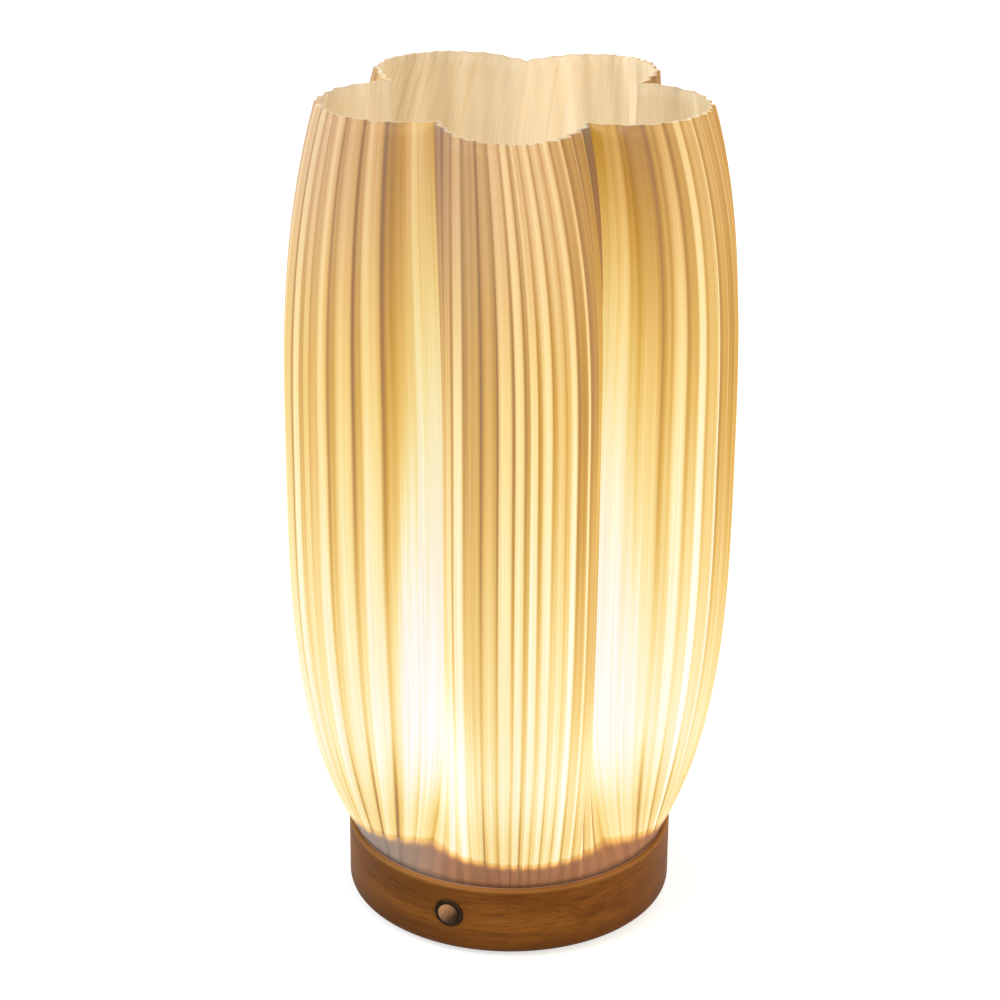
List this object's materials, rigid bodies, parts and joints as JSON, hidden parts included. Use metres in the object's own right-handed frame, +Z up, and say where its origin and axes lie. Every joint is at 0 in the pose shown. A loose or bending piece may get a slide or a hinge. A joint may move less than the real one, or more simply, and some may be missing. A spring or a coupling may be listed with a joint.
{
  "type": "table lamp",
  "caption": "Cordless table lamp with a lobed, finely pleated translucent shade that lifts off a round wooden base with a push button.",
  "frame": {"origin": "on the table, under the middle of the round base, in the plane of the underside of the foot pad", "axes": "+Z up along the axis of the base, -Y to the front through the push button, +X to the right seen from the front"},
  "size_m": [0.1284, 0.1292, 0.2518],
  "materials": {
    "shade_ivory": "satin ribbed translucent print",
    "wood": "oiled turned wood",
    "pan_white": "satin moulded plastic",
    "silicone": "matt silicone",
    "opal": "frosted opal plastic",
    "board_white": "white solder mask on aluminium",
    "phosphor": "yellow phosphor window",
    "screw_steel": "zinc plated",
    "screw_black": "black oxide",
    "cover_black": "fine moulded grain",
    "foot_rubber": "matt rubber",
    "cell_foil": "pressed laminate foil",
    "tape_foam": "white foam tape",
    "lead_red": "PVC insulation",
    "lead_white": "PVC insulation",
    "lead_black": "PVC insulation",
    "board_green": "green solder mask",
    "chip_black": "moulded epoxy",
    "inlet_steel": "drawn stainless shell",
    "bezel_dark": "dark bronze plated",
    "nut_brass": "turned brass",
    "cap_bronze": "satin bronze plated",
    "spring_steel": "drawn wire"
  },
  "bodies": {
    "base": {"light_pan": "pan_white", "grip_ring": "silicone", "diffuser": "opal", "led_board": "board_white", "led_chips": "phosphor", "led_screws": "screw_steel", "pan_screws": "screw_steel", "base_body": "wood", "bottom_cover": "cover_black", "cover_screws": "screw_black", "foot_pad": "foot_rubber", "battery_tape": "tape_foam", "battery_cell": "cell_foil", "battery_leads": "lead_red", "driver_board": "board_green", "driver_screws": "screw_steel", "driver_chips": "chip_black", "usb_shell": "inlet_steel", "usb_tongue": "chip_black", "button_bezel": "bezel_dark", "button_nut": "nut_brass", "button_spring": "spring_steel", "switch_body": "chip_black", "switch_leads": "lead_black", "led_leads": "lead_white"},
    "shade": {"shade": "shade_ivory"},
    "button": {"button_cap": "cap_bronze"}
  },
  "joints": [
    {"name": "shade_lift", "type": "slide", "parent": "base", "child": "shade", "axis": [0, 0, 1], "range_m": [0, 0.06]},
    {"name": "button_press", "type": "slide", "parent": "base", "child": "button", "axis": [0, 1, 0], "range_m": [0, 0.001], "stiffness_N_per_m": 1500, "deforming": ["button_spring"]}
  ]
}
